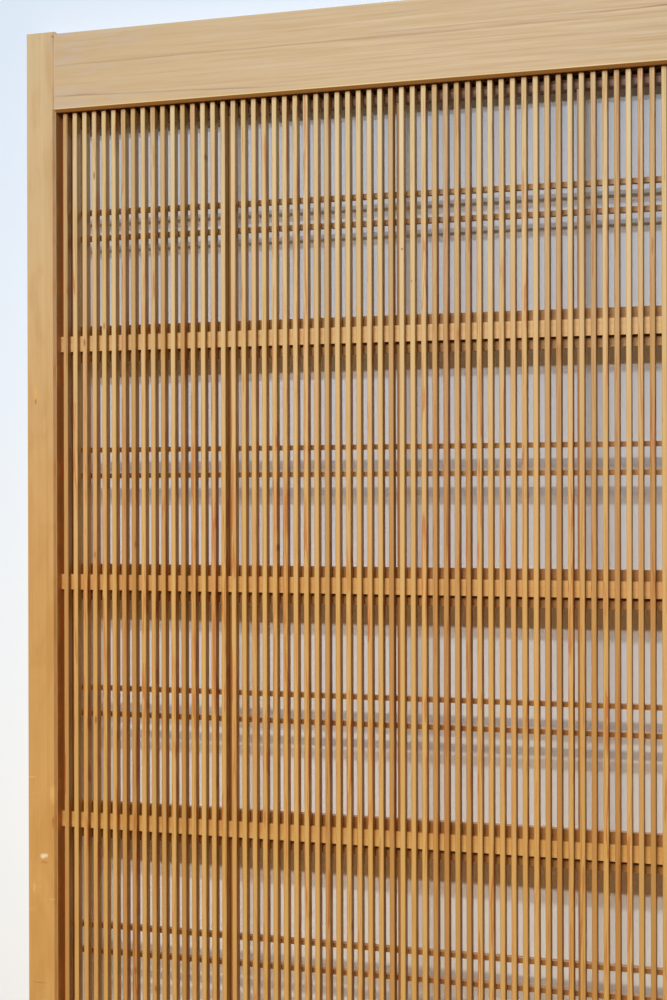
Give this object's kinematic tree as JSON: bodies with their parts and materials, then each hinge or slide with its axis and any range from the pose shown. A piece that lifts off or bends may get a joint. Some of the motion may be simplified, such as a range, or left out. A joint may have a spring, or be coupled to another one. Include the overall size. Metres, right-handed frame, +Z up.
{
  "type": "slatted shoji sliding leaf",
  "caption": "Tall sliding leaf of pale softwood: fine upright slats in a chamfered frame, over an open back panel of level bars and slim muntins, on two door rollers.",
  "frame": {"origin": "middle of the leaf's footprint, on the track under the two rollers", "axes": "+X across the leaf to the right seen from the front, -Y out of the front, +Z up"},
  "size_m": [0.882, 0.036, 1.844],
  "materials": {
    "frame_upright": "planed, unfinished",
    "frame_level": "planed, unfinished",
    "slat": "planed, unfinished",
    "crosspiece": "planed, unfinished",
    "panel_upright": "planed, unfinished",
    "panel_level": "planed, unfinished",
    "roller_steel": "zinc plated",
    "roller_nylon": "moulded"
  },
  "bodies": {
    "leaf": {"bottom_rail": "frame_level", "broad_bar_1": "panel_level", "broad_bar_2": "panel_level", "broad_bar_3": "panel_level", "broad_bar_4": "panel_level", "broad_bar_5": "panel_level", "crosspiece_1": "crosspiece", "crosspiece_2": "crosspiece", "crosspiece_3": "crosspiece", "crosspiece_4": "crosspiece", "crosspiece_5": "crosspiece", "muntin_1": "panel_upright", "muntin_2": "panel_upright", "muntin_3": "panel_upright", "panel_rail_bottom": "panel_level", "panel_rail_top": "panel_level", "panel_stile_left": "panel_upright", "panel_stile_right": "panel_upright", "roller_axle_left": "roller_steel", "roller_axle_right": "roller_steel", "roller_housing_left": "roller_steel", "roller_housing_right": "roller_steel", "slats_bay_1": "slat", "slats_bay_2": "slat", "slats_bay_3": "slat", "slats_bay_4": "slat", "stile_left": "frame_upright", "stile_right": "frame_upright", "thin_bar_1_lower": "panel_level", "thin_bar_1_upper": "panel_level", "thin_bar_2_lower": "panel_level", "thin_bar_2_upper": "panel_level", "thin_bar_3_lower": "panel_level", "thin_bar_3_upper": "panel_level", "thin_bar_4_lower": "panel_level", "thin_bar_4_upper": "panel_level", "thin_bar_5_lower": "panel_level", "thin_bar_5_upper": "panel_level", "thin_bar_6_lower": "panel_level", "thin_bar_6_upper": "panel_level", "top_rail": "frame_level"},
    "wheel_left": {"roller_wheel_left": "roller_nylon"},
    "wheel_right": {"roller_wheel_right": "roller_nylon"}
  },
  "joints": [
    {"name": "left_wheel_spin", "type": "hinge", "parent": "leaf", "child": "wheel_left", "pos_m": [-0.331, 0, 0.015], "axis": [0, 1, 0], "continuous": true},
    {"name": "right_wheel_spin", "type": "hinge", "parent": "leaf", "child": "wheel_right", "pos_m": [0.331, 0, 0.015], "axis": [0, 1, 0], "continuous": true}
  ]
}
